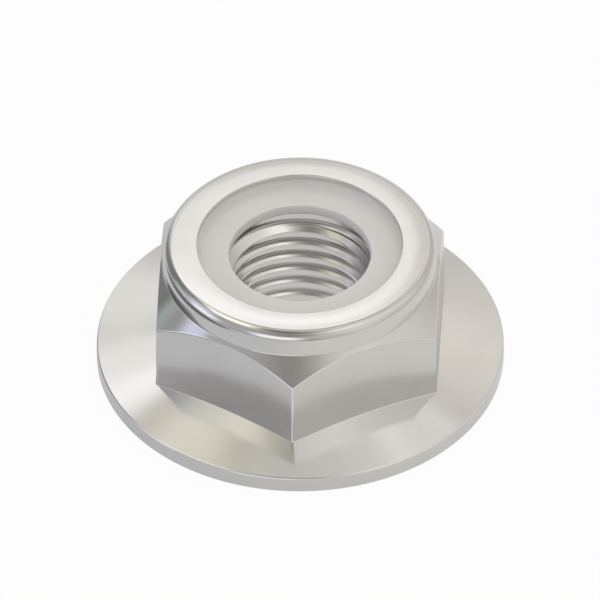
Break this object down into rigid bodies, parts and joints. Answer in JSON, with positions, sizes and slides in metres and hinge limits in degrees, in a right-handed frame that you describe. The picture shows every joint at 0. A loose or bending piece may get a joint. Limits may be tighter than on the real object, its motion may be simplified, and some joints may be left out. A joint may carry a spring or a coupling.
{
  "type": "hexagon flange lock nut",
  "caption": "Hexagon nut with a round flange, a rolled collar and a plastic locking ring that grips the thread, so the nut holds without a washer or a second nut.",
  "frame": {"origin": "centre of the bearing face, on the thread axis", "axes": "+Z along the thread axis from the bearing face to the collar; two flats of the hexagon face along X and two corners lie on Y"},
  "size_m": [0.0254, 0.0254, 0.0094],
  "materials": {
    "plated_steel": "bright plated, fine and nearly mirror smooth",
    "locking_plastic": "milky, slightly translucent, satin"
  },
  "bodies": {
    "root": {"nut_body": "plated_steel", "locking_ring": "locking_plastic"}
  },
  "joints": []
}
